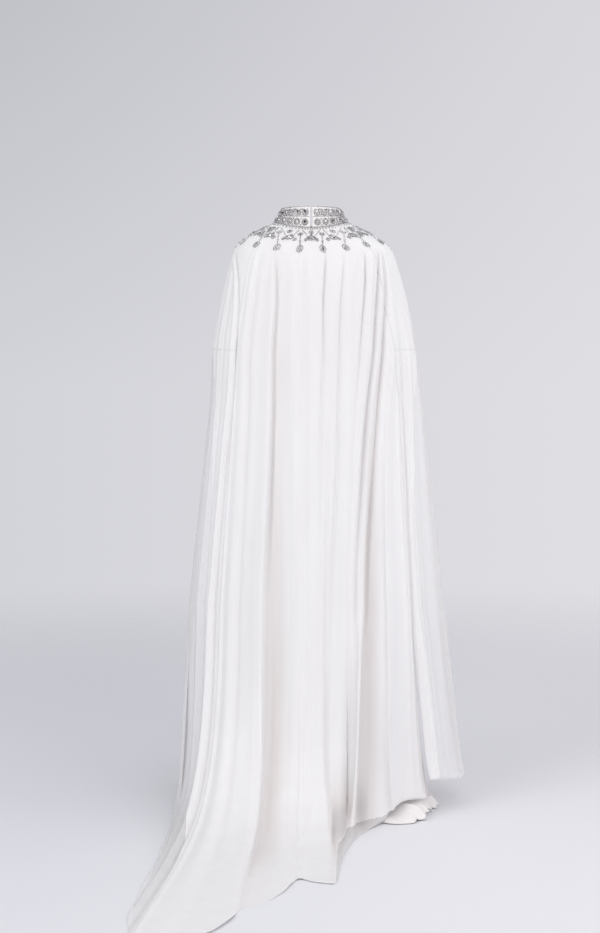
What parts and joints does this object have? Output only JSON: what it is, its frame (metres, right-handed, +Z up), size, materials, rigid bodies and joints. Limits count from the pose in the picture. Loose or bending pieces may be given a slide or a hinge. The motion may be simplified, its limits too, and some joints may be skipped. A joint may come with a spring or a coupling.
{
  "type": "abaya",
  "caption": "Worn white abaya with a sheer cape layer, wing sleeves and train over an opaque under-dress, with a beaded stand collar, yoke and drops",
  "frame": {"origin": "where the garment rests on the wearer's shoulders, at the middle of the neck, 1.45 m above the floor", "axes": "+Z up; the front faces -Y and the back with its train +Y; the wearer's left is +X"},
  "size_m": [0.7877, 1.4479, 1.524],
  "materials": {
    "sheer": "sheer matt chiffon, white",
    "dress": "opaque soft crepe, warm white",
    "beads": "clear and silver cut crystals in bright settings"
  },
  "bodies": {
    "root": {"cape_back": "sheer", "upper_sleeve_left": "sheer", "wing_left": "sheer", "cape_front_left": "sheer", "upper_sleeve_right": "sheer", "wing_right": "sheer", "cape_front_right": "sheer", "dress_back": "dress", "dress_front": "dress", "dress_sleeve_left": "dress", "dress_sleeve_right": "dress", "collar": "beads", "yoke": "beads", "drop_01": "beads", "drop_02": "beads", "drop_03": "beads", "drop_04": "beads", "drop_05": "beads", "drop_06": "beads", "drop_07": "beads", "drop_08": "beads", "drop_09": "beads", "drop_10": "beads", "drop_11": "beads", "drop_12": "beads", "drop_13": "beads", "drop_14": "beads", "drop_15": "beads", "drop_16": "beads", "shoulder_line_left": "beads", "shoulder_line_right": "beads"}
  },
  "joints": []
}
